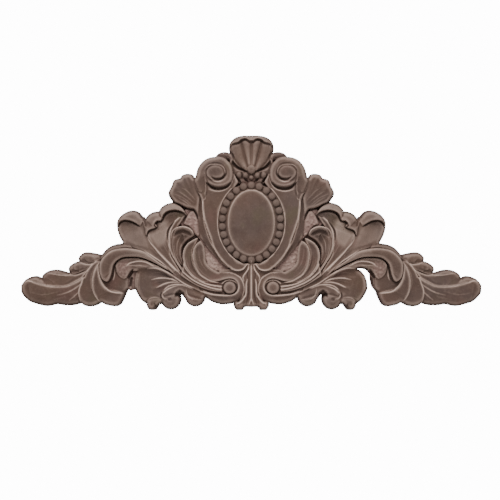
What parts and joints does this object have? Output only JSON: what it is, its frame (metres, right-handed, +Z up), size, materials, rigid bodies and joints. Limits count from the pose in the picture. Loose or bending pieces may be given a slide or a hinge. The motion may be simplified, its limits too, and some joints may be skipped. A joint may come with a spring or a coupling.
{
  "type": "foam relief panel",
  "caption": "Moulded foam crest panel: beaded oval medallion under a fluted shell, with volutes, fans and acanthus scrolls to both sides, flat at the back.",
  "frame": {"origin": "on the flat back, at the middle of the oval medallion", "axes": "+X to the viewer's right along the panel, +Y into the wall, +Z up"},
  "size_m": [0.9221, 0.0393, 0.3501],
  "materials": {
    "moulded_foam": "matt, mauve brown, paler on the worn crests and darker in the cuts"
  },
  "bodies": {
    "root": {"relief_panel": "moulded_foam"}
  },
  "joints": []
}
